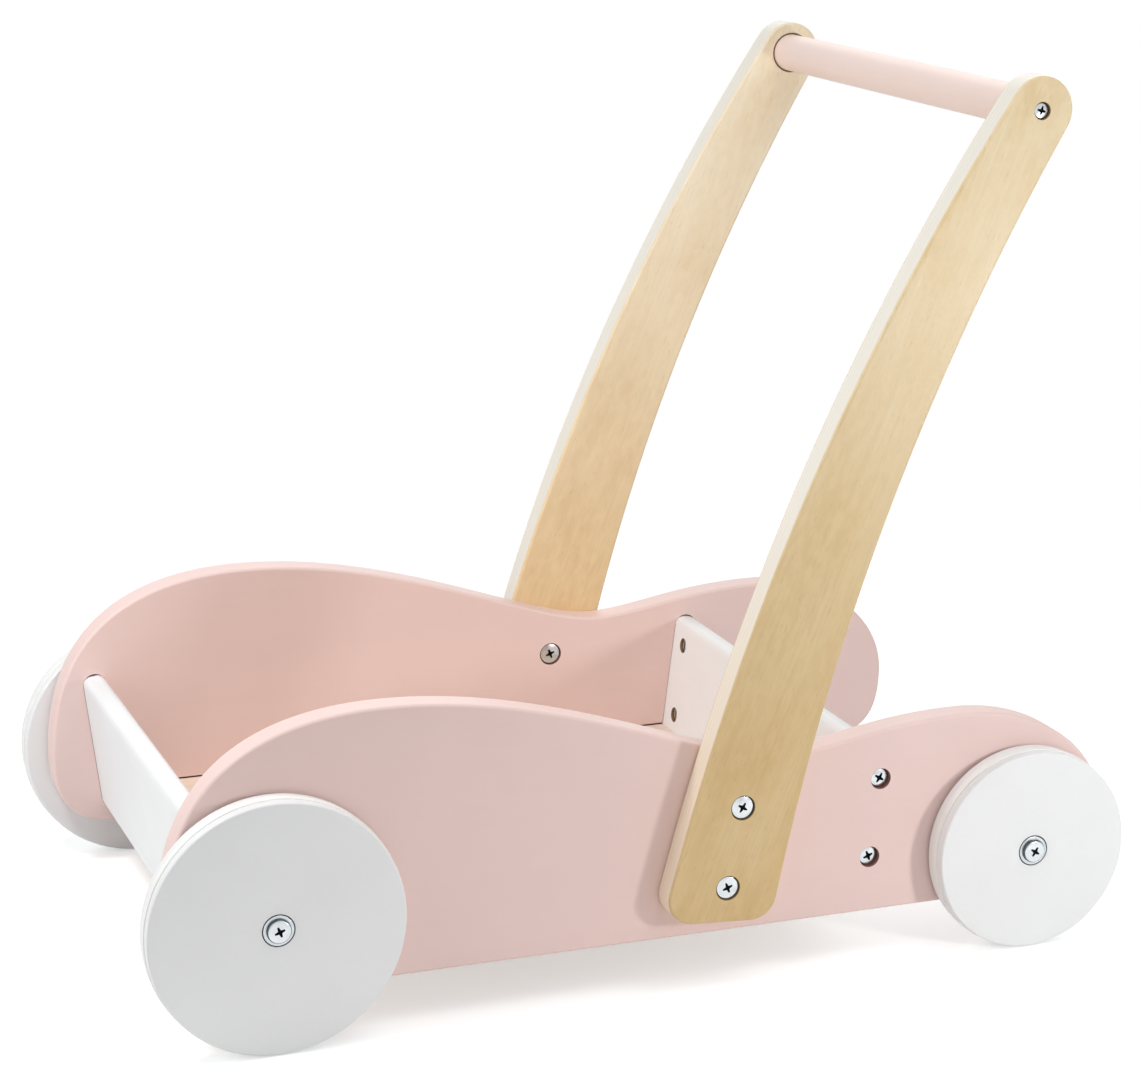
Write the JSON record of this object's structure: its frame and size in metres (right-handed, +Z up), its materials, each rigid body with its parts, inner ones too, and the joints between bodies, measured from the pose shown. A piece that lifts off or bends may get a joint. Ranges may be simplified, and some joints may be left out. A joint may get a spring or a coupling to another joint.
{
  "type": "baby push walker",
  "caption": "Wooden baby push walker: an open wagon with wavy side panels and leaning end boards on turning wheels with rubber rings, pushed by a round bar between tall curved arms.",
  "frame": {"origin": "on the ground, under the middle of the length and of the width", "axes": "+Z up, Y along the length with the front hump towards -Y and the handle towards +Y, X across with the child's left at +X"},
  "size_m": [0.311, 0.5074, 0.4415],
  "materials": {
    "pink_painted_wood": "dusty pink satin paint on plywood",
    "white_painted_wood": "white satin paint on board",
    "birch_plywood": "clear-lacquered birch plywood",
    "floor_plywood": "clear-lacquered pale plywood",
    "pink_painted_dowel": "pale pink satin paint on a turned dowel",
    "zinc_steel": "bright zinc plate",
    "brass_insert": "machined brass",
    "ring_rubber": "cream soft rubber"
  },
  "bodies": {
    "wagon": {"side_panel_left": "pink_painted_wood", "side_panel_right": "pink_painted_wood", "front_board": "white_painted_wood", "rear_board": "white_painted_wood", "floor_panel": "floor_plywood", "handle_arm_left": "birch_plywood", "handle_arm_right": "birch_plywood", "handle_bar": "pink_painted_dowel", "handle_bar_screws": "zinc_steel", "arm_bolts": "zinc_steel", "arm_sleeve_nuts": "zinc_steel", "front_board_screws": "zinc_steel", "front_barrel_nuts": "zinc_steel", "rear_board_screws": "zinc_steel", "rear_barrel_nuts": "zinc_steel", "axle_bolts": "zinc_steel", "axle_washers": "zinc_steel", "axle_sleeves": "zinc_steel", "spacer_washers": "zinc_steel", "insert_nuts": "brass_insert"},
    "wheel_front_left": {"front_wheel_left": "white_painted_wood", "front_tyre_left": "ring_rubber"},
    "wheel_front_right": {"front_wheel_right": "white_painted_wood", "front_tyre_right": "ring_rubber"},
    "wheel_rear_left": {"rear_wheel_left": "white_painted_wood", "rear_tyre_left": "ring_rubber"},
    "wheel_rear_right": {"rear_wheel_right": "white_painted_wood", "rear_tyre_right": "ring_rubber"}
  },
  "joints": [
    {"name": "front_left_spin", "type": "hinge", "parent": "wagon", "child": "wheel_front_left", "pos_m": [0.14565, -0.19125, 0.0625], "axis": [1, 0, 0], "continuous": true},
    {"name": "front_right_spin", "type": "hinge", "parent": "wagon", "child": "wheel_front_right", "pos_m": [-0.14565, -0.19125, 0.0625], "axis": [1, 0, 0], "continuous": true},
    {"name": "rear_left_spin", "type": "hinge", "parent": "wagon", "child": "wheel_rear_left", "pos_m": [0.14565, 0.20175, 0.052], "axis": [1, 0, 0], "continuous": true},
    {"name": "rear_right_spin", "type": "hinge", "parent": "wagon", "child": "wheel_rear_right", "pos_m": [-0.14565, 0.20175, 0.052], "axis": [1, 0, 0], "continuous": true}
  ]
}
